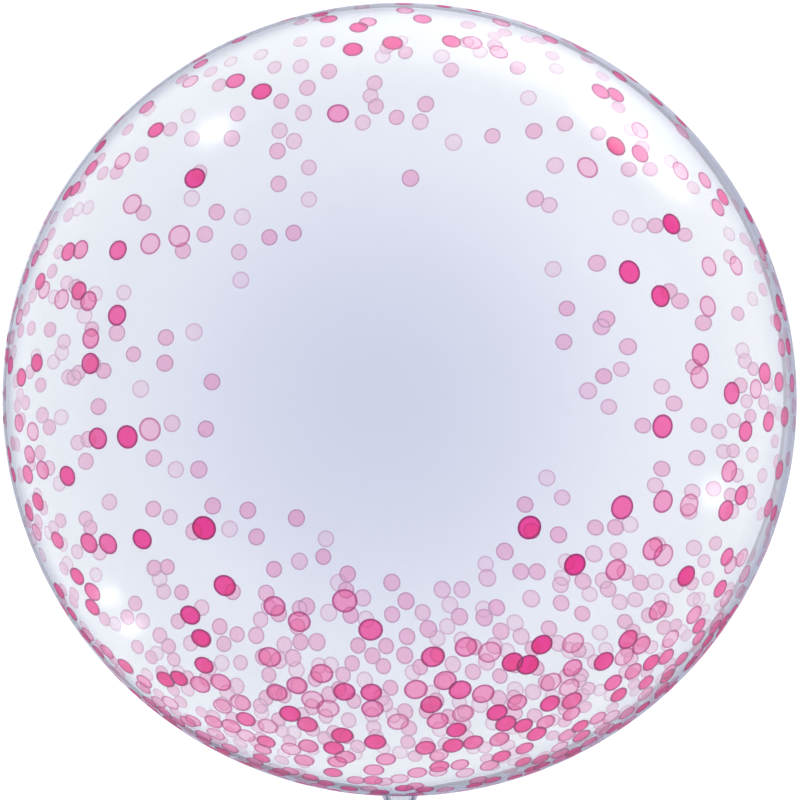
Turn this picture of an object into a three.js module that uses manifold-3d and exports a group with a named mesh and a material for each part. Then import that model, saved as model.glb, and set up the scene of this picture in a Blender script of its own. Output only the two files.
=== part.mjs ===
// A clear bubble balloon: two round sheets of printed stretch film, welded together round the rim
// and blown up to a ball, with the filling neck left between them. It is a sealed vessel, so it is
// one closed solid, with the outer form of the film.
//
// Millimetres, +Z up. The origin is the middle of the small flat spot that the balloon rests on.
// It lies on its back: the front looks up along +Z, the weld runs level round the ball at mid
// height, and the neck leaves the weld along -Y and ends in a flat tab.

import * as THREE from "three";
import * as BufferGeometryUtils from "three/addons/utils/BufferGeometryUtils.js";
import Module from "manifold-3d";

const wasm = await Module();
wasm.setup();

// Driving dimensions
const BALL_RADIUS = 302;
const SPOT_RADIUS = 40; // flat spot pressed by the ground
const WELD_REACH = 3; // how far the weld stands out past the film of the ball
const WELD_HALF = 1.2; // half the width of the weld's foot
const MOUTH_ANGLE = THREE.MathUtils.degToRad(8.5); // where the ball starts to draw in to the neck
const NECK_RADIUS = 10; // the gathered neck
const NECK_START = 16; // from the ball's lowest point to the gathered neck
const NECK_LENGTH = 6;
const TAB_START = 42; // where the neck has spread out flat again
const TAB_END = 70;
const TAB_HALF_WIDTH = 19;
const TAB_HALF_THICKNESS = 1;
const TAB_WELD = new THREE.Vector2(1.5, 0);
const PLEAT_COUNT = 16;
const PLEAT_DEPTH = 1.3;

// Fineness of the facets
const COLUMNS = 64; // round the neck's axis, four to a pleat
const BALL_ROWS = 30;
const MOUTH_ROWS = 7;
const SPREAD_ROWS = 5;
const EDGE_SLOPE = 3; // how steeply the tab thickens from its welded edges

const BALL_HEIGHT = Math.sqrt(BALL_RADIUS ** 2 - SPOT_RADIUS ** 2);

const { lerp, smoothstep } = THREE.MathUtils;

// A row is one closed section of the film, square to the neck's axis: its place along the axis, its
// radius where it is round, how far it is pressed flat, its pleats, and how far its weld stands out
// sideways and along the axis.

function ballRow(angle) {
  return {
    y: BALL_RADIUS * Math.cos(angle),
    radius: BALL_RADIUS * Math.sin(angle),
    flatness: 0,
    pleat: 0,
    weld: new THREE.Vector2(WELD_REACH * Math.sin(angle), WELD_REACH * Math.cos(angle)),
  };
}

// The first row is the foot of the weld where it crosses the crown of the ball.
function ballRows() {
  const rows = [ballRow(WELD_HALF / BALL_RADIUS)];
  for (let i = 1; i <= BALL_ROWS; i += 1) {
    rows.push(ballRow(((Math.PI - MOUTH_ANGLE) * i) / BALL_ROWS));
  }
  return rows;
}

// The film draws in from the ball to the neck along one smooth curve, and gathers into pleats.
function mouthRows() {
  const edge = new THREE.Vector2(
    BALL_RADIUS * Math.sin(MOUTH_ANGLE),
    -BALL_RADIUS * Math.cos(MOUTH_ANGLE),
  );
  const inward = new THREE.Vector2(-Math.cos(MOUTH_ANGLE), -Math.sin(MOUTH_ANGLE));
  const neck = new THREE.Vector2(NECK_RADIUS, -BALL_RADIUS - NECK_START);
  const curve = new THREE.CubicBezierCurve(
    edge,
    edge.clone().addScaledVector(inward, edge.x - neck.x),
    neck.clone().add(new THREE.Vector2(0, NECK_START * 0.7)),
    neck,
  );
  const edgeWeld = ballRow(Math.PI - MOUTH_ANGLE).weld;
  const rows = [];
  for (let i = 1; i <= MOUTH_ROWS; i += 1) {
    const t = i / MOUTH_ROWS;
    const point = curve.getPoint(t);
    rows.push({
      y: point.y,
      radius: point.x,
      flatness: 0,
      pleat: PLEAT_DEPTH * smoothstep(t, 0, 0.6),
      weld: edgeWeld.clone().lerp(TAB_WELD, t),
    });
  }
  return rows;
}

// Past the gathered neck the film spreads out flat into the tab, and its pleats die away.
function tabRows() {
  const gathered = -BALL_RADIUS - NECK_START - NECK_LENGTH;
  const spread = -BALL_RADIUS - TAB_START;
  const rows = [];
  for (let i = 0; i <= SPREAD_ROWS; i += 1) {
    const t = i / SPREAD_ROWS;
    rows.push({
      y: lerp(gathered, spread, t),
      radius: NECK_RADIUS,
      flatness: smoothstep(t, 0, 1),
      pleat: PLEAT_DEPTH * (1 - t),
      weld: TAB_WELD,
    });
  }
  rows.push({ ...rows.at(-1), y: -BALL_RADIUS - TAB_END });
  return rows;
}

// Columns run along the film. Beside each of the two welded edges stands one more pair of columns,
// the foot of the weld.
function columnsOf(row) {
  const step = (2 * Math.PI) / COLUMNS;
  const foot = Math.min(WELD_HALF / row.radius, step / 2);
  const columns = [];
  for (let i = 0; i < COLUMNS; i += 1) {
    const onWeld = i % (COLUMNS / 2) === 0;
    if (onWeld) {
      columns.push({ angle: i * step - foot, onWeld: false });
    }
    columns.push({ angle: i * step, onWeld });
    if (onWeld) {
      columns.push({ angle: i * step + foot, onWeld: false });
    }
  }
  return columns;
}

function sectionPoint(row, column) {
  const cos = Math.cos(column.angle);
  const sin = Math.sin(column.angle);
  const round = row.radius + row.pleat * Math.cos(PLEAT_COUNT * column.angle);
  const thickness = TAB_HALF_THICKNESS * THREE.MathUtils.clamp(EDGE_SLOPE * sin, -1, 1);
  const point = new THREE.Vector3(
    lerp(round, TAB_HALF_WIDTH, row.flatness) * cos,
    row.y,
    BALL_HEIGHT + lerp(round * sin, thickness, row.flatness),
  );
  if (column.onWeld) {
    point.x += row.weld.x * Math.sign(cos);
    point.y += row.weld.y;
  }
  return point;
}

// One closed skin over all the rows, from the crown of the ball to the end of the tab.
function filmGeometry(rows) {
  const rings = rows.map((row) => columnsOf(row).map((column) => sectionPoint(row, column)));
  const crown = new THREE.Vector3(0, BALL_RADIUS + WELD_REACH, BALL_HEIGHT);
  const tabEnd = new THREE.Vector3(0, rows.at(-1).y, BALL_HEIGHT);
  const count = rings[0].length;
  const triangles = [];
  for (let k = 0; k < count; k += 1) {
    const next = (k + 1) % count;
    triangles.push([crown, rings[0][next], rings[0][k]]);
    for (let i = 0; i + 1 < rings.length; i += 1) {
      const [a, b] = [rings[i][k], rings[i][next]];
      const [c, d] = [rings[i + 1][k], rings[i + 1][next]];
      triangles.push([a, b, d], [a, d, c]);
    }
    triangles.push([rings.at(-1)[k], rings.at(-1)[next], tabEnd]);
  }
  const positions = triangles.flat().flatMap((point) => point.toArray());
  const geometry = new THREE.BufferGeometry();
  geometry.setAttribute("position", new THREE.Float32BufferAttribute(positions, 3));
  return BufferGeometryUtils.mergeVertices(geometry);
}

function toSolid(geometry) {
  const bare = geometry.clone();
  bare.deleteAttribute("normal");
  bare.deleteAttribute("uv");
  const merged = BufferGeometryUtils.mergeVertices(bare);
  return new wasm.Manifold(
    new wasm.Mesh({
      numProp: 3,
      vertProperties: new Float32Array(merged.getAttribute("position").array),
      triVerts: new Uint32Array(merged.getIndex().array),
    }),
  );
}

function toGeometry(solid) {
  const { vertProperties, triVerts } = solid.getMesh();
  const geometry = new THREE.BufferGeometry();
  geometry.setAttribute("position", new THREE.BufferAttribute(vertProperties, 3));
  geometry.setIndex(new THREE.BufferAttribute(triVerts, 1));
  geometry.computeVertexNormals();
  return geometry;
}

// The ground presses the underside flat, up to z = 0.
function pressFlat(geometry) {
  const ground = new THREE.BoxGeometry(BALL_RADIUS, BALL_RADIUS, BALL_RADIUS);
  ground.translate(0, 0, -BALL_RADIUS / 2);
  return toGeometry(toSolid(geometry).subtract(toSolid(ground)));
}

function bubble() {
  const rows = [...ballRows(), ...mouthRows(), ...tabRows()];
  const clearFilm = new THREE.MeshStandardMaterial({
    color: 0xdde0f1,
    roughness: 0.12,
    metalness: 0,
    transparent: true,
    opacity: 0.35,
  });
  const mesh = new THREE.Mesh(pressFlat(filmGeometry(rows)), clearFilm);
  mesh.name = "bubble";
  return mesh;
}

const balloon = new THREE.Group();
balloon.add(bubble());

export default balloon;
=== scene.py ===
import math
import random

import bpy
from mathutils import Matrix, Vector
from mathutils.kdtree import KDTree


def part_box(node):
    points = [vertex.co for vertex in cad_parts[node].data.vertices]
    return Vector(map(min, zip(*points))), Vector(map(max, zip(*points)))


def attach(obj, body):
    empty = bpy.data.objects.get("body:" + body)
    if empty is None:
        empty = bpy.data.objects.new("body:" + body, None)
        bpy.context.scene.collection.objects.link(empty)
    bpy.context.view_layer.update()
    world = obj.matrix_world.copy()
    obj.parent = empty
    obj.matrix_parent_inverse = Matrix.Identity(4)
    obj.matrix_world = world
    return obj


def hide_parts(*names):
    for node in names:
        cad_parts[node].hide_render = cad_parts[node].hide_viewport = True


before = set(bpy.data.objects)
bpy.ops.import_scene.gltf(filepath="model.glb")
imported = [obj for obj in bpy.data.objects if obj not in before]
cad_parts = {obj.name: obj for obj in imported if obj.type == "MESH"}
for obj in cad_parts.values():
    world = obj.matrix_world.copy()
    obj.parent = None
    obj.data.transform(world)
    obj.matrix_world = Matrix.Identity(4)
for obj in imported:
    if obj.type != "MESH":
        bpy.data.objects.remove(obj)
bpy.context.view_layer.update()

# ---------------------------------------------------------------------------------------------
# The film. Two round sheets of clear stretch film, welded together round the rim and blown up to
# a ball. Between them the weld leaves the filling neck, which the pressure gathers into pleats
# and which spreads out again into a flat tab with a heat-sealed end.

film_low, film_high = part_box("bubble")
WELD_REACH = 0.003
BALL_RADIUS = film_high.y - WELD_REACH
SPOT_RADIUS = 0.040
BALL_HEIGHT = math.sqrt(BALL_RADIUS**2 - SPOT_RADIUS**2)
WELD_HALF = 0.0011
WELD_EDGE = 0.0003
MOUTH_ANGLE = math.radians(8.5)
NECK_RADIUS = 0.010
NECK_START = BALL_RADIUS + 0.016
NECK_END = BALL_RADIUS + 0.022
TAB_START = BALL_RADIUS + 0.042
TAB_END = -film_low.y
TAB_HALF_WIDTH = 0.019
TAB_HALF_THICKNESS = 0.001
TAB_WELD_REACH = 0.0015
PLEAT_DEPTH = 0.0013
PLEAT_COUNT = 16
CROWN_REACHES = [0.0, 0.0003, 0.0006, 0.0011, 0.002, 0.0035]
BALL_STEPS = 150
MOUTH_STEPS = 34
SPREAD_STEPS = 30
TAB_STEPS = 12
CRIMP_RIBS = 5
CRIMP_STEPS = CRIMP_RIBS * 8
CRIMP_DEPTH = 0.45
SEAL_START = TAB_END - 0.012
SEAL_END = TAB_END - 0.002


def smooth(t):
    t = min(max(t, 0.0), 1.0)
    return t * t * (3 - 2 * t)


def lerp(a, b, t):
    return a + (b - a) * t


def ball_row(angle):
    """One section of the ball, square to the neck's axis, at an angle from the crown."""
    return {
        "y": BALL_RADIUS * math.cos(angle),
        "radius": BALL_RADIUS * math.sin(angle),
        "flatness": 0.0,
        "pleat": 0.0,
        "swell": 1.0,
        "weld_x": WELD_REACH * math.sin(angle),
        "weld_y": WELD_REACH * math.cos(angle),
    }


def ball_rows():
    """Close together where the weld crosses the crown, then evenly spaced."""
    rows = [ball_row(reach / BALL_RADIUS) for reach in CROWN_REACHES]
    for i in range(1, BALL_STEPS + 1):
        rows.append(ball_row(lerp(0, math.pi - MOUTH_ANGLE, i / BALL_STEPS)))
    return rows


def mouth_rows():
    """The film draws in from the ball to the neck along one smooth curve, gathering in pleats."""
    edge = Vector((BALL_RADIUS * math.sin(MOUTH_ANGLE), -BALL_RADIUS * math.cos(MOUTH_ANGLE)))
    neck = Vector((NECK_RADIUS, -NECK_START))
    inward = Vector((-math.cos(MOUTH_ANGLE), -math.sin(MOUTH_ANGLE)))
    handle_a = edge + inward * (edge.x - neck.x)
    handle_b = neck + Vector((0, (NECK_START - BALL_RADIUS) * 0.7))
    edge_row = ball_row(math.pi - MOUTH_ANGLE)
    rows = []
    for i in range(1, MOUTH_STEPS + 1):
        t = i / MOUTH_STEPS
        u = 1 - t
        point = edge * u**3 + handle_a * 3 * u * u * t + handle_b * 3 * u * t * t + neck * t**3
        rows.append({
            "y": point.y,
            "radius": point.x,
            "flatness": 0.0,
            "pleat": PLEAT_DEPTH * smooth(t / 0.6),
            "swell": 1.0,
            "weld_x": lerp(edge_row["weld_x"], TAB_WELD_REACH, t),
            "weld_y": lerp(edge_row["weld_y"], 0.0, t),
        })
    return rows


def tab_rows():
    """The film spreads out flat into the tab, is ribbed where it is sealed, and ends pinched."""
    rows = []
    for i in range(SPREAD_STEPS + 1):
        t = i / SPREAD_STEPS
        rows.append({
            "y": -lerp(NECK_END, TAB_START, t),
            "radius": NECK_RADIUS,
            "flatness": smooth(t),
            "pleat": PLEAT_DEPTH * (1 - t),
            "swell": 1.0,
            "weld_x": TAB_WELD_REACH,
            "weld_y": 0.0,
        })
    for i in range(1, TAB_STEPS + 1):
        rows.append({**rows[-1], "y": -lerp(TAB_START, SEAL_START, i / TAB_STEPS)})
    for i in range(1, CRIMP_STEPS + 1):
        t = i / CRIMP_STEPS
        rib = 0.5 - 0.5 * math.cos(math.tau * CRIMP_RIBS * t)
        swell = 1 - CRIMP_DEPTH * rib
        rows.append({**rows[-1], "y": -lerp(SEAL_START, SEAL_END, t), "swell": swell})
    rows.append({**rows[-1], "y": -TAB_END + 0.0006, "swell": 0.8})
    rows.append({**rows[-1], "y": -TAB_END + 0.0001, "swell": 0.35})
    rows.append({**rows[-1], "y": -TAB_END, "swell": 0.0})
    return rows


def spine_mesh(rows):
    """One loose point for each section, carrying that section's sizes."""
    mesh = bpy.data.meshes.new("film_spine")
    mesh.from_pydata([(0, row["y"], 0) for row in rows], [], [])
    for name in rows[0]:
        values = mesh.attributes.new(name, "FLOAT", "POINT")
        values.data.foreach_set("value", [row[name] for row in rows])
    return mesh


def add_node(tree, kind, inputs=(), **settings):
    """Adds a node, sets its own settings, and fills its inputs with values or other sockets."""
    node = tree.nodes.new(kind)
    for name, value in settings.items():
        setattr(node, name, value)
    for key, value in dict(inputs).items():
        if isinstance(value, bpy.types.NodeSocket):
            tree.links.new(value, node.inputs[key])
        else:
            node.inputs[key].default_value = value
    return node


def math_node(tree, operation, *values, clamp=False):
    node = add_node(tree, "ShaderNodeMath", enumerate(values), operation=operation, use_clamp=clamp)
    return node.outputs[0]


def mix_value(tree, factor, a, b):
    node = add_node(tree, "ShaderNodeMix", {0: factor, 2: a, 3: b}, data_type="FLOAT")
    return node.outputs[0]


def new_group(name, kind, inputs, outputs):
    """A node group with named sockets, given as (name, socket type, default)."""
    tree = bpy.data.node_groups.new(name, kind)
    for socket_name, socket_type, default in inputs:
        socket = tree.interface.new_socket(socket_name, in_out="INPUT", socket_type=socket_type)
        if default is not None:
            socket.default_value = default
    for socket_name, socket_type in outputs:
        tree.interface.new_socket(socket_name, in_out="OUTPUT", socket_type=socket_type)
    return tree, tree.nodes.new("NodeGroupInput").outputs, tree.nodes.new("NodeGroupOutput").inputs


def film_skin_tree():
    """Sweeps the sections into one closed skin: pleats, flat tab, weld and flat spot."""
    tree, given, result = new_group(
        "film_skin",
        "GeometryNodeTree",
        [
            ("Geometry", "NodeSocketGeometry", None),
            ("Columns", "NodeSocketInt", 300),
            ("Crowding at the weld", "NodeSocketFloat", 0.49),
            ("Ball height", "NodeSocketFloat", BALL_HEIGHT),
            ("Pleats", "NodeSocketInt", PLEAT_COUNT),
            ("Tab half width", "NodeSocketFloat", TAB_HALF_WIDTH),
            ("Tab half thickness", "NodeSocketFloat", TAB_HALF_THICKNESS),
            ("Weld half width", "NodeSocketFloat", WELD_HALF),
            ("Weld edge", "NodeSocketFloat", WELD_EDGE),
            ("Spot roundness", "NodeSocketFloat", 0.0015),
            ("Film", "NodeSocketMaterial", None),
        ],
        [("Geometry", "NodeSocketGeometry")],
    )

    def calc(operation, *values, clamp=False):
        return math_node(tree, operation, *values, clamp=clamp)

    row_count = add_node(
        tree, "GeometryNodeAttributeDomainSize", {"Geometry": given["Geometry"]}
    ).outputs["Point Count"]
    row_steps = calc("SUBTRACT", row_count, 1)
    grid = add_node(
        tree,
        "GeometryNodeMeshGrid",
        {
            "Size X": given["Columns"],
            "Size Y": row_steps,
            "Vertices X": calc("ADD", given["Columns"], 1),
            "Vertices Y": row_count,
        },
    )
    place = add_node(
        tree,
        "ShaderNodeSeparateXYZ",
        {0: tree.nodes.new("GeometryNodeInputPosition").outputs[0]},
    ).outputs
    row_index = calc("ROUND", calc("MULTIPLY_ADD", row_steps, 0.5, place["Y"]))

    def of_row(name):
        value = add_node(tree, "GeometryNodeInputNamedAttribute", {"Name": name}, data_type="FLOAT")
        sample = add_node(
            tree,
            "GeometryNodeSampleIndex",
            {"Geometry": given["Geometry"], "Value": value.outputs[0], "Index": row_index},
            data_type="FLOAT",
            domain="POINT",
        )
        return sample.outputs[0]

    turn = calc("ADD", calc("DIVIDE", place["X"], given["Columns"]), 0.5)
    twice_round = calc("SINE", calc("MULTIPLY", turn, 2 * math.tau))
    crowd = calc("MULTIPLY", given["Crowding at the weld"], twice_round)
    angle = calc("SUBTRACT", calc("MULTIPLY", turn, math.tau), crowd)
    cos = calc("COSINE", angle)
    sin = calc("SINE", angle)
    flatness = of_row("flatness")

    pleat_wave = calc("COSINE", calc("MULTIPLY", angle, given["Pleats"]))
    pleated = calc("MULTIPLY_ADD", of_row("pleat"), pleat_wave, of_row("radius"))
    half_width = mix_value(tree, flatness, pleated, given["Tab half width"])
    tab_slope = calc("MINIMUM", calc("MAXIMUM", calc("MULTIPLY", sin, 3), -1), 1)
    tab_rise = calc("MULTIPLY", tab_slope, given["Tab half thickness"])
    tab_rise = calc("MULTIPLY", tab_rise, of_row("swell"))
    rise = mix_value(tree, flatness, calc("MULTIPLY", pleated, sin), tab_rise)

    from_weld = calc("ABSOLUTE", calc("MULTIPLY", half_width, sin))
    weld = calc(
        "DIVIDE",
        calc("SUBTRACT", given["Weld half width"], from_weld),
        calc("SUBTRACT", given["Weld half width"], given["Weld edge"]),
        clamp=True,
    )
    weld_x = calc("MULTIPLY", calc("MULTIPLY", of_row("weld_x"), calc("SIGN", cos)), weld)
    weld_y = calc("MULTIPLY", of_row("weld_y"), weld)
    height = calc("ADD", given["Ball height"], rise)
    position = add_node(
        tree,
        "ShaderNodeCombineXYZ",
        {
            "X": calc("MULTIPLY_ADD", half_width, cos, weld_x),
            "Y": calc("ADD", of_row("y"), weld_y),
            "Z": calc("SMOOTH_MAX", height, 0.0, given["Spot roundness"]),
        },
    )
    shaped = add_node(
        tree,
        "GeometryNodeSetPosition",
        {"Geometry": grid.outputs["Mesh"], "Position": position.outputs[0]},
    )
    closed = add_node(
        tree, "GeometryNodeMergeByDistance", {"Geometry": shaped.outputs[0], "Distance": 1e-6}
    )
    rounded = add_node(tree, "GeometryNodeSetShadeSmooth", {"Geometry": closed.outputs[0]})
    whole = add_node(tree, "GeometryNodeRealizeInstances", {"Geometry": rounded.outputs[0]})
    covered = add_node(
        tree,
        "GeometryNodeSetMaterial",
        {"Geometry": whole.outputs[0], "Material": given["Film"]},
    )
    tree.links.new(covered.outputs[0], result["Geometry"])
    return tree


def grow(name, base, tree, **values):
    """Runs a geometry tree on a base mesh once, and returns the plain mesh as a new object."""
    seed = bpy.data.objects.new(name + "_seed", base)
    bpy.context.scene.collection.objects.link(seed)
    modifier = seed.modifiers.new(name, "NODES")
    modifier.node_group = tree
    for item in tree.interface.items_tree:
        if item.item_type == "SOCKET" and item.in_out == "INPUT" and item.name in values:
            modifier[item.identifier] = values[item.name]
    graph = bpy.context.evaluated_depsgraph_get()
    mesh = bpy.data.meshes.new_from_object(seed.evaluated_get(graph))
    mesh.name = name
    seed.modifiers.remove(modifier)
    bpy.data.objects.remove(seed)
    piece = bpy.data.objects.new(name, mesh)
    bpy.context.scene.collection.objects.link(piece)
    return piece


clear_film = bpy.data.materials.new("clear_film")
film = grow(
    "bubble_film",
    spine_mesh(ball_rows() + mouth_rows() + tab_rows()),
    film_skin_tree(),
    Film=clear_film,
)
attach(film, "root")
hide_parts("bubble")


# ---------------------------------------------------------------------------------------------
# The confetti. Round dots of translucent ink, printed on both sheets before they are welded. They
# crowd together near the neck, thin out up the sides and over the crown, and leave the middle of
# each sheet clear. Where two dots overlap, their inks add up.

DOT_RADIUS = 0.0082
DOT_AREA = math.pi * DOT_RADIUS**2
DOT_SIZES = (0.94, 1.05)
DOTS_PER_FACE = 3
TRIES_PER_DOT_AREA = 3
OVERLAP_SHARE = 0.15
OVERLAP_GAP = 0.8
USUAL_GAP = 1.7
FULL_COVERAGE = 2.2
BARE_ROUND_MOUTH = MOUTH_ANGLE * 1.6
STRETCH_POWER = 2.4
NARROWING_POWER = 0.75
LONGEST_DOT = 1.8
LONGEST_REACH = 2.2
SHEETS = {
    "front": {"side": 1, "clear_middle": (-0.07, 0.14, 1), "clear_tilt": 25, "sparse": 0.15},
    "back": {"side": -1, "clear_middle": (0.07, 0.02, -1), "clear_tilt": 26, "sparse": 0.19},
}
CLEAR_EDGE = 16
THICK = 1.0
THICK_WAY = Vector((0.1, -1, 0)).normalized()
THICK_START = 0.46
THICK_EDGE = 0.26
CROWN_START = 0.2
CROWN_EDGE = 0.5
CROWN_LOSS = 0.5
MIDDLE_SHARE = 0.8
SIDE_GAIN = 0.6
SIDE_TILT = 40
GREEN_LET_THROUGH = {"blush": 0.58, "light": 0.34, "mid": 0.13, "hot": 0.050, "deep": 0.014}
SHARES = {"blush": 22, "light": 25, "mid": 25, "hot": 20, "deep": 8}


def coverage(sheet, out):
    """The part of the film that is printed, at a direction from the ball's centre."""
    tilt = math.degrees(out.angle(Vector(sheet["clear_middle"])))
    clear = smooth((tilt - sheet["clear_tilt"]) / CLEAR_EDGE)
    thick = smooth((out.dot(THICK_WAY) - THICK_START) / THICK_EDGE)
    near_crown = smooth((out.y - CROWN_START) / CROWN_EDGE)
    toward_side = smooth((tilt - SIDE_TILT) / SIDE_TILT)
    sparse = sheet["sparse"] * (MIDDLE_SHARE + SIDE_GAIN * toward_side)
    return clear * lerp(sparse, THICK, thick) * (1 - CROWN_LOSS * near_crown)


def drawn_out(out):
    """How the film's stretch draws a dot out towards the rim, as a vector across the weld.

    Its length is 0 where a dot stays round, and nears 1 as the dot grows longer than wide.
    """
    tilt = math.acos(min(abs(out.z), 1.0))
    if tilt < 0.01:
        return Vector((0, 0, 0))
    across = math.sin(tilt)
    longer = min((tilt / across) ** STRETCH_POWER, LONGEST_DOT)
    to_weld = Vector((-out.x * out.z, -out.y * out.z, across * across)) / across
    return to_weld * math.sqrt(1 - 1 / longer**2)


def narrowed(out):
    """A dot's half width beside its size in the middle of the sheet."""
    tilt = math.acos(min(abs(out.z), 1.0))
    return (math.sin(tilt) / tilt) ** NARROWING_POWER if tilt > 0.01 else 1.0


def scatter_dots(seed):
    """Drops dots on the ball at random, mostly clear of each other."""
    chance = random.Random(seed)
    sheet_in_dots = round(math.tau * BALL_RADIUS**2 / DOT_AREA)
    dots = []
    for sheet in SHEETS.values():
        side = sheet["side"]
        laid = []
        for _ in range(sheet_in_dots * TRIES_PER_DOT_AREA):
            z = chance.random()
            turn = chance.random() * math.tau
            across = math.sqrt(1 - z * z)
            out = Vector((across * math.cos(turn), across * math.sin(turn), side * z))
            radius = DOT_RADIUS * narrowed(out) * chance.uniform(*DOT_SIZES)
            ink = chance.choices(list(SHARES), SHARES.values())[0]
            gap = OVERLAP_GAP if chance.random() < OVERLAP_SHARE else USUAL_GAP
            if chance.random() > coverage(sheet, out) / FULL_COVERAGE:
                continue
            nearest = min((out.angle(other) for other in laid), default=math.pi) * BALL_RADIUS
            if nearest < DOT_RADIUS * gap:
                continue
            if out.y < -math.cos(BARE_ROUND_MOUTH):
                continue
            laid.append(out)
            green = GREEN_LET_THROUGH[ink]
            dots.append({"out": out, "radius": radius, "green": green, "side": side})
    return dots


def print_dots(mesh, dots):
    """Writes on each face of the film the dots that cross it, as attributes for the material."""
    centre = Vector((0, 0, BALL_HEIGHT))
    faces = KDTree(len(mesh.polygons))
    reach = []
    for face in mesh.polygons:
        faces.insert(face.center, face.index)
        reach.append(max((mesh.vertices[i].co - face.center).length for i in face.vertices))
    faces.balance()
    crossing = [[] for _ in mesh.polygons]
    for dot in dots:
        middle = centre + dot["out"] * BALL_RADIUS
        stretch = drawn_out(dot["out"])
        touched = []
        search = dot["radius"] * LONGEST_REACH + max(reach)
        for point, index, _ in faces.find_range(middle, search):
            off = point - middle
            away = math.sqrt(off.length_squared - off.dot(stretch) ** 2)
            same_sheet = (point.z - BALL_HEIGHT) * dot["side"] > 0
            if away < dot["radius"] + reach[index] and same_sheet:
                touched.append(index)
        if any(len(crossing[index]) == DOTS_PER_FACE for index in touched):
            continue
        for index in touched:
            crossing[index].append((middle, dot["radius"], dot["green"]))

    def write(name, domain, vectors):
        attribute = mesh.attributes.new(name, "FLOAT_VECTOR", domain)
        attribute.data.foreach_set("vector", [value for vector in vectors for value in vector])

    outs = [(vertex.co - centre).normalized() for vertex in mesh.vertices]
    write("drawn_out", "POINT", [drawn_out(out) for out in outs])
    no_dot = (centre, 0, 1)
    for k in range(DOTS_PER_FACE):
        kth = [dots_here[k] if k < len(dots_here) else no_dot for dots_here in crossing]
        write(f"dot_place_{k}", "FACE", [middle for middle, _, _ in kth])
        write(f"dot_ink_{k}", "FACE", [(radius, green, 0) for _, radius, green in kth])


print_dots(film.data, scatter_dots(seed=177))


def confetti_group():
    """One dot of those that cross a face, laid over the dots that are already there.

    Green is the share of green light that the ink lets through. Shade dims all colours in a ring
    at the dot's edge, where the ink dried thicker.
    """
    tree, given, result = new_group(
        "confetti_dot",
        "ShaderNodeTree",
        [
            ("Green", "NodeSocketFloat", 1.0),
            ("Shade", "NodeSocketFloat", 1.0),
            ("Dot place", "NodeSocketVector", None),
            ("Dot radius and green", "NodeSocketVector", None),
            ("Drawn out", "NodeSocketVector", None),
            ("Blur", "NodeSocketFloat", 0.0002),
            ("Ring", "NodeSocketFloat", 0.0020),
            ("Ring depth", "NodeSocketFloat", 0.62),
            ("Faint ring depth", "NodeSocketFloat", 0.10),
            ("Ring green loss", "NodeSocketFloat", 0.45),
        ],
        [("Green", "NodeSocketFloat"), ("Shade", "NodeSocketFloat")],
    )

    def calc(operation, *values, clamp=False):
        return math_node(tree, operation, *values, clamp=clamp)

    here = add_node(tree, "ShaderNodeTexCoord").outputs["Object"]
    from_place = add_node(
        tree, "ShaderNodeVectorMath", {0: here, 1: given["Dot place"]}, operation="SUBTRACT"
    ).outputs[0]
    straight = add_node(
        tree, "ShaderNodeVectorMath", {0: from_place, 1: from_place}, operation="DOT_PRODUCT"
    ).outputs["Value"]
    along = add_node(
        tree, "ShaderNodeVectorMath", {0: from_place, 1: given["Drawn out"]}, operation="DOT_PRODUCT"
    ).outputs["Value"]
    away = calc("SQRT", calc("SUBTRACT", straight, calc("MULTIPLY", along, along)))
    dot = add_node(tree, "ShaderNodeSeparateXYZ", {0: given["Dot radius and green"]}).outputs
    inside_by = calc("SUBTRACT", dot["X"], away)
    printed = calc("DIVIDE", inside_by, given["Blur"], clamp=True)
    in_ring = calc("MULTIPLY_ADD", calc("DIVIDE", inside_by, given["Ring"]), -2, 2, clamp=True)
    green_left = calc("SUBTRACT", 1, calc("MULTIPLY", in_ring, given["Ring green loss"]))
    dot_green = calc("MULTIPLY", dot["Y"], green_left)
    green = mix_value(tree, printed, 1.0, dot_green)
    ring_depth = mix_value(tree, dot["Y"], given["Ring depth"], given["Faint ring depth"])
    dot_shade = calc("SUBTRACT", 1, calc("MULTIPLY", in_ring, ring_depth))
    shade = mix_value(tree, printed, 1.0, dot_shade)
    tree.links.new(calc("MULTIPLY", given["Green"], green), result["Green"])
    tree.links.new(calc("MULTIPLY", given["Shade"], shade), result["Shade"])
    return tree


# The film's look. Clear stretch film lets most light through. It tints light a little more at a
# slant, where more film is crossed, and most along the weld, where two sheets lie together. On
# one side of the balloon, painted shade darkens the rim, the outline, the weld band and the weld
# line further.

FILM_TINT = (0.854, 0.862, 0.875)
SLANT_TINT = (0.808, 0.820, 0.812)
RIM_TINT = (0.50, 0.515, 0.59)
OUTLINE_TINT = (0.50, 0.50, 0.56)
BELT_TINT = (0.56, 0.58, 0.66)
WELD_TINT = (0.62, 0.60, 0.69)
PASSING_TINT = (0.81, 0.817, 0.875)
HAZE = (0.90, 0.905, 0.90)
SLANT_STARTS, SLANT_FULL = 0.05, 0.60
RIM_STARTS, RIM_FULL = 0.70, 0.87
OUTLINE_STARTS, OUTLINE_FULL = 0.90, 0.99
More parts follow.
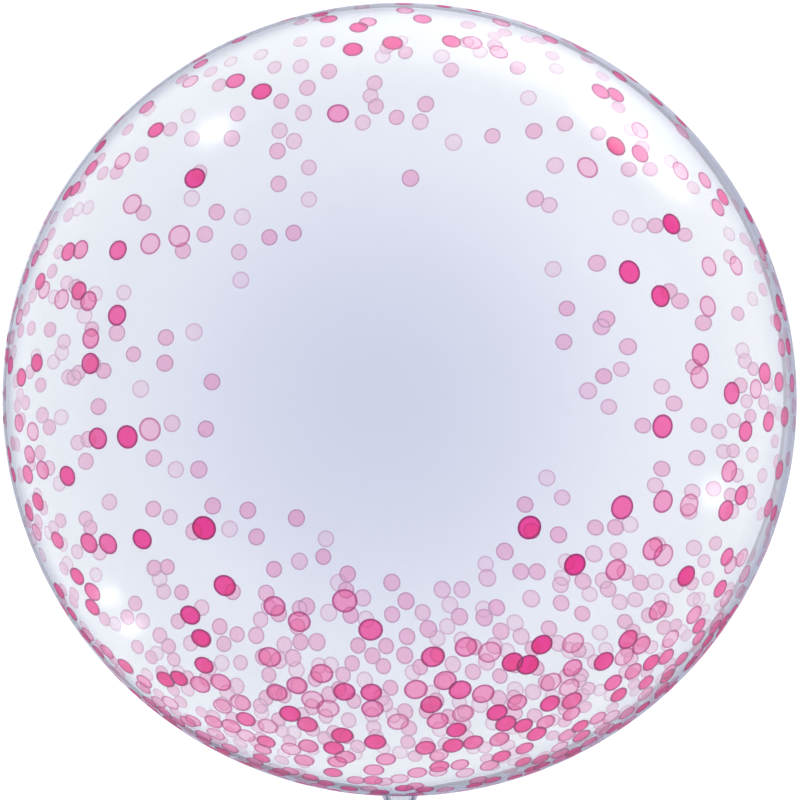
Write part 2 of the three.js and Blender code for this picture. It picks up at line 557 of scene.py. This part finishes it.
# Painted shade: on the side of the balloon across this direction, the rim, outline, band beside the
# weld and weld line are darkened. The light side keeps these shares of that darkening.
SHADED_SIDE = (0.85, -0.53, 0)
SHADED_SIDE_STARTS, SHADED_SIDE_FULL = -0.10, 0.12
LIGHT_SIDE_RIM = 0.58
LIGHT_SIDE_BELT = 0.18
LIGHT_SIDE_WELD = 0.12
BELT_REACH = 0.055
LOWER_BELT = 0.6
WELD_LINE_STARTS, WELD_LINE_FULL = 0.0018, 0.0012
PUCKER_REACH = 0.030
INK_BODY = 0.23
FAR_INK_LOSS = 0.5
RIM_INK_GAIN = 0.7
INK_RED_POWER = 0.025
INK_BLUE_POWER = 0.75
INK_BLUE_SHARE = 0.76
RING_BLUE_SHARE = 0.75
HAZE_POWER = 1.5
HAZE_SLANTED, HAZE_FACED = 0.27, 0.02
SHINE_POWER = 5
SHINE_SLANTED, SHINE_FACED = 0.45, 0.06
SHINE_INSIDE = 0.2
RIM_DULLS = 0.7

clear_film.use_nodes = True
shading = clear_film.node_tree
shading.nodes.clear()


def calc(operation, *values, clamp=False):
    return math_node(shading, operation, *values, clamp=clamp)


def mix(factor, a, b):
    return mix_value(shading, factor, a, b)


def rising(value, low, high):
    """A smooth step from 0 at low to 1 at high."""
    limits = {"Value": value, "From Min": low, "From Max": high}
    node = add_node(shading, "ShaderNodeMapRange", limits, interpolation_type="SMOOTHSTEP")
    return node.outputs[0]


def blend(factor, a, b, kind="MIX"):
    """Mixes two colours, each a plain colour or a socket."""
    a, b = [(*colour, 1) if isinstance(colour, tuple) else colour for colour in (a, b)]
    node = add_node(
        shading, "ShaderNodeMix", {0: factor, 6: a, 7: b}, data_type="RGBA", blend_type=kind
    )
    return node.outputs[2]


# The dots that cross each face, one over the other.
confetti_dot = confetti_group()
green = 1.0
shade = 1.0
stretch = add_node(shading, "ShaderNodeAttribute", attribute_name="drawn_out").outputs["Vector"]
for k in range(DOTS_PER_FACE):
    dot_place = add_node(shading, "ShaderNodeAttribute", attribute_name=f"dot_place_{k}")
    dot_ink = add_node(shading, "ShaderNodeAttribute", attribute_name=f"dot_ink_{k}")
    dot_inputs = {
        "Green": green,
        "Shade": shade,
        "Dot place": dot_place.outputs["Vector"],
        "Dot radius and green": dot_ink.outputs["Vector"],
        "Drawn out": stretch,
    }
    dot = add_node(shading, "ShaderNodeGroup", dot_inputs, node_tree=confetti_dot).outputs
    green = dot["Green"]
    shade = dot["Shade"]

# Small puckers beside the weld, which only the shine shows.
place = add_node(shading, "ShaderNodeTexCoord").outputs["Object"]
axes = add_node(shading, "ShaderNodeSeparateXYZ", {0: place}).outputs
from_weld = calc("ABSOLUTE", calc("SUBTRACT", axes["Z"], BALL_HEIGHT))
along_weld = add_node(
    shading, "ShaderNodeVectorMath", {0: place, 1: (1, 1, 0.12)}, operation="MULTIPLY"
)
pucker = add_node(
    shading, "ShaderNodeTexNoise", {"Vector": along_weld.outputs[0], "Scale": 130.0, "Detail": 1.0}
).outputs["Fac"]
puckered = calc("MULTIPLY", pucker, rising(from_weld, PUCKER_REACH, 0.0))
surface_normal = add_node(
    shading, "ShaderNodeBump", {"Height": puckered, "Strength": 0.35, "Distance": 0.001}
).outputs[0]

facing = add_node(shading, "ShaderNodeLayerWeight", {"Blend": 0.5}).outputs["Facing"]
inside = add_node(shading, "ShaderNodeNewGeometry").outputs["Backfacing"]
slant = rising(facing, SLANT_STARTS, SLANT_FULL)
rim = rising(facing, RIM_STARTS, RIM_FULL)
outline = rising(facing, OUTLINE_STARTS, OUTLINE_FULL)
not_rim = calc("SUBTRACT", 1, calc("MULTIPLY", rim, RIM_DULLS))

# Ink on the far sheet looks half as strong, and ink seen at a slant looks denser.
far = calc("MULTIPLY", inside, FAR_INK_LOSS)
green = mix(far, green, 1.0)
green = calc("POWER", green, calc("MULTIPLY_ADD", rim, RIM_INK_GAIN, 1))
shade = mix(far, shade, 1.0)
red = calc("MULTIPLY", calc("POWER", green, INK_RED_POWER), shade)
blue = calc(
    "MULTIPLY_ADD", calc("POWER", green, INK_BLUE_POWER), INK_BLUE_SHARE, 1 - INK_BLUE_SHARE
)
blue_shade = calc("MULTIPLY_ADD", shade, RING_BLUE_SHARE, 1 - RING_BLUE_SHARE)
ink = add_node(
    shading,
    "ShaderNodeCombineColor",
    {
        "Red": red,
        "Green": calc("MULTIPLY", green, shade),
        "Blue": calc("MULTIPLY", blue, blue_shade),
    },
).outputs[0]

# The film's own tint is darker at a slant and at the rim. On one side of the balloon, painted shade
# darkens the rim further, adds a dark outline, and deepens the band beside the weld and the weld
# line.
shaded_way = add_node(
    shading, "ShaderNodeVectorMath", {0: place, 1: SHADED_SIDE}, operation="DOT_PRODUCT"
).outputs["Value"]
shaded_side = rising(shaded_way, SHADED_SIDE_STARTS, SHADED_SIDE_FULL)
# Painted shade: the rim tint is at full strength, and the dark outline is drawn, only on the shaded
# side.
rim_tinted = calc("MULTIPLY", rim, mix(shaded_side, LIGHT_SIDE_RIM, 1.0))
tint = blend(rim_tinted, blend(slant, FILM_TINT, SLANT_TINT), RIM_TINT)
tint = blend(calc("MULTIPLY", outline, shaded_side), tint, OUTLINE_TINT)
# A darker band beside the weld, seen from inside the balloon and weaker on the lower sheet. Painted
# shade deepens it on the shaded side.
on_top = calc("GREATER_THAN", axes["Z"], BALL_HEIGHT)
belt = calc("MULTIPLY", rising(from_weld, BELT_REACH, 0.0), mix(on_top, LOWER_BELT, 1.0))
belt = calc("MULTIPLY", belt, inside)
belt = calc("MULTIPLY", belt, mix(shaded_side, LIGHT_SIDE_BELT, 1.0))
tint = blend(belt, tint, blend(1.0, tint, BELT_TINT, "MULTIPLY"))
# The weld line, where two sheets lie together. Painted shade darkens it further on the shaded side.
weld_line = rising(from_weld, WELD_LINE_STARTS, WELD_LINE_FULL)
weld_line = calc("MULTIPLY", weld_line, mix(shaded_side, LIGHT_SIDE_WELD, 1.0))
tint = blend(weld_line, tint, WELD_TINT)
through = add_node(
    shading, "ShaderNodeBsdfTransparent", {"Color": blend(1.0, tint, ink, "MULTIPLY")}
)

# A little of the light scatters in the ink and in the film, and a little shines off it.
ink_body = calc("MULTIPLY_ADD", green, -INK_BODY, INK_BODY)
haze = calc("MULTIPLY", calc("POWER", facing, HAZE_POWER), not_rim)
haze = calc("MULTIPLY_ADD", haze, HAZE_SLANTED, HAZE_FACED)
body = calc("ADD", ink_body, haze, clamp=True)
solid = add_node(
    shading,
    "ShaderNodeBsdfPrincipled",
    {
        "Base Color": blend(1.0, HAZE, ink, "MULTIPLY"),
        "Roughness": 0.35,
        "Specular IOR Level": 0.0,
    },
)
film_body = add_node(
    shading, "ShaderNodeMixShader", {0: body, 1: through.outputs[0], 2: solid.outputs[0]}
)
gloss = add_node(
    shading,
    "ShaderNodeBsdfGlossy",
    {"Color": (1, 1, 1, 1), "Roughness": 0.19, "Normal": surface_normal},
)
shine = calc("MULTIPLY_ADD", calc("POWER", facing, SHINE_POWER), SHINE_SLANTED, SHINE_FACED)
shine = calc("MULTIPLY", shine, not_rim)
shine = calc("MULTIPLY", shine, mix(inside, 1.0, SHINE_INSIDE))
seen = add_node(
    shading, "ShaderNodeMixShader", {0: shine, 1: film_body.outputs[0], 2: gloss.outputs[0]}
)

# Only the camera sees the print and the shine. Light on its way through meets one plain tint.
passing_film = add_node(shading, "ShaderNodeBsdfTransparent", {"Color": (*PASSING_TINT, 1)})
light_path = add_node(shading, "ShaderNodeLightPath").outputs
surface = add_node(
    shading,
    "ShaderNodeMixShader",
    {0: light_path["Is Camera Ray"], 1: passing_film.outputs[0], 2: seen.outputs[0]},
)
add_node(shading, "ShaderNodeOutputMaterial", {"Surface": surface.outputs[0]})


# ---------------------------------------------------------------------------------------------
# The studio: a pale floor, a pale sky, one broad soft light overhead, low panels that the film
# mirrors, and the camera looking down on the balloon where it lies.

FLOOR_HALF = 40.0
FLOOR_DROP = 0.0006
FLOOR_GREY = 0.95

corners = [(-1, -1), (1, -1), (1, 1), (-1, 1)]
floor_points = [(x * FLOOR_HALF, y * FLOOR_HALF, -FLOOR_DROP) for x, y in corners]
floor_mesh = bpy.data.meshes.new("floor")
floor_mesh.from_pydata(floor_points, [], [(0, 1, 2, 3)])
floor = bpy.data.objects.new("floor", floor_mesh)
bpy.context.scene.collection.objects.link(floor)
pale = bpy.data.materials.new("pale_floor")
pale.use_nodes = True
paint = pale.node_tree.nodes["Principled BSDF"].inputs
paint["Base Color"].default_value = (FLOOR_GREY, FLOOR_GREY, FLOOR_GREY, 1)
paint["Specular IOR Level"].default_value = 0.0
paint["Roughness"].default_value = 0.9
floor_mesh.materials.append(pale)

world = bpy.data.worlds.new("studio")
bpy.context.scene.world = world
world.use_nodes = True
sky = world.node_tree
sky_up = add_node(
    sky, "ShaderNodeSeparateXYZ", {0: add_node(sky, "ShaderNodeTexCoord").outputs["Generated"]}
).outputs["Z"]
sky_ramp = add_node(sky, "ShaderNodeValToRGB", {"Fac": sky_up})
sky_stops = [
    (0.0, (1.0, 1.0, 1.0)),
    (0.35, (0.8, 0.8, 0.82)),
    (0.75, (0.45, 0.47, 0.55)),
    (1.0, (0.35, 0.37, 0.5)),
]
while len(sky_ramp.color_ramp.elements) < len(sky_stops):
    sky_ramp.color_ramp.elements.new(0.5)
for element, (position, colour) in zip(sky_ramp.color_ramp.elements, sky_stops):
    element.position = position
    element.color = (*colour, 1)
background = sky.nodes["Background"]
sky.links.new(sky_ramp.outputs[0], background.inputs["Color"])


def panel(name, shape, place, size, power, aim, mirrored, spread=180):
    """A flat soft light, aimed at a point. Only the mirrored ones show in the film."""
    light = bpy.data.lights.new(name, "AREA")
    light.shape = shape
    light.size, light.size_y = size
    light.energy = power
    light.spread = math.radians(spread)
    lamp = bpy.data.objects.new(name, light)
    lamp.location = place
    lamp.rotation_euler = (Vector(aim) - Vector(place)).to_track_quat("-Z", "Y").to_euler()
    lamp.visible_camera = False
    lamp.visible_glossy = mirrored
    bpy.context.scene.collection.objects.link(lamp)


balloon = (0, 0, BALL_HEIGHT)
beyond_crown = (0.42, 1.15, 0)
panel("overhead", "SQUARE", (0.1, 0.15, 3.4), (6.0, 6.0), 180, (0, 0, 0), mirrored=False)
panel(
    "floor_pool",
    "ELLIPSE",
    (0.42, 1.15, 1.2),
    (0.9, 0.6),
    6.5,
    beyond_crown,
    mirrored=False,
    spread=60,
)
panel("softbox", "ELLIPSE", (0.527, 0.564, 0.27), (0.36, 0.24), 0.58, balloon, mirrored=True)
panel("lamp_left", "ELLIPSE", (-0.62, 0.90, 0.235), (0.12, 0.18), 0.34, balloon, mirrored=True)
panel("lamp_right", "ELLIPSE", (0.953, -0.285, 0.41), (0.08, 0.14), 0.22, balloon, mirrored=True)
panel("window_pane", "RECTANGLE", (-0.60, -0.41, 0.22), (0.03, 0.13), 0.07, balloon, mirrored=True)
panel("window_pane_2", "RECTANGLE", (-0.55, -0.47, 0.22), (0.03, 0.13), 0.07, balloon, mirrored=True)

CAMERA_DISTANCE = 1.55
CAMERA_LEAN = math.radians(4.5)
LEAN_WAY = math.radians(155)
CAMERA_SHIFT = -0.000625

camera_data = bpy.data.cameras.new("camera")
camera_data.lens = 89.9
camera_data.sensor_width = 36
camera_data.shift_y = CAMERA_SHIFT
camera = bpy.data.objects.new("camera", camera_data)
camera.location = (
    CAMERA_DISTANCE * math.sin(CAMERA_LEAN) * math.cos(LEAN_WAY),
    CAMERA_DISTANCE * math.sin(CAMERA_LEAN) * math.sin(LEAN_WAY),
    BALL_HEIGHT + CAMERA_DISTANCE * math.cos(CAMERA_LEAN),
)
back = (camera.location - Vector(balloon)).normalized()
right = Vector((0, 1, 0)).cross(back).normalized()
camera.rotation_euler = Matrix((right, back.cross(right), back)).transposed().to_euler()
bpy.context.scene.collection.objects.link(camera)
bpy.context.scene.camera = camera
bpy.context.scene.view_settings.view_transform = "Standard"
